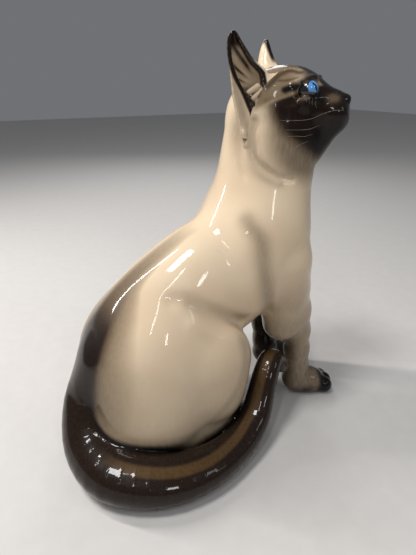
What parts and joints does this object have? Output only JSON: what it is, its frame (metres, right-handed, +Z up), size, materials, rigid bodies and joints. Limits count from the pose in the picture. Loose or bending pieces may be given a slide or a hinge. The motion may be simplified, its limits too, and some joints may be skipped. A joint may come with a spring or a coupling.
{
  "type": "cat figurine",
  "caption": "Large seated Siamese cat in glazed earthenware, head turned and looking up, tail curled round one side.",
  "frame": {"origin": "on the table plane, on the body's mid-plane, in the underside of the base plate", "axes": "+Z up, the cat's body faces -Y, its right side is -X"},
  "size_m": [0.1909, 0.2979, 0.36],
  "materials": {
    "cream_glaze": "high gloss cream glaze with airbrushed brown shading",
    "mask_glaze": "high gloss seal brown mask fading to cream at the neck",
    "ear_glaze": "high gloss, dark brown rims over cream and pink",
    "paw_glaze": "high gloss brown fading to near black toes",
    "tail_glaze": "high gloss seal brown with an ochre band",
    "bare_biscuit": "unglazed matt biscuit"
  },
  "bodies": {
    "root": {"torso_shell": "cream_glaze", "head_shell": "mask_glaze", "right_ear": "ear_glaze", "left_ear": "ear_glaze", "right_foreleg": "paw_glaze", "left_foreleg": "paw_glaze", "right_hind_paw": "paw_glaze", "left_hind_paw": "paw_glaze", "tail": "tail_glaze", "base_plate": "bare_biscuit"}
  },
  "joints": []
}
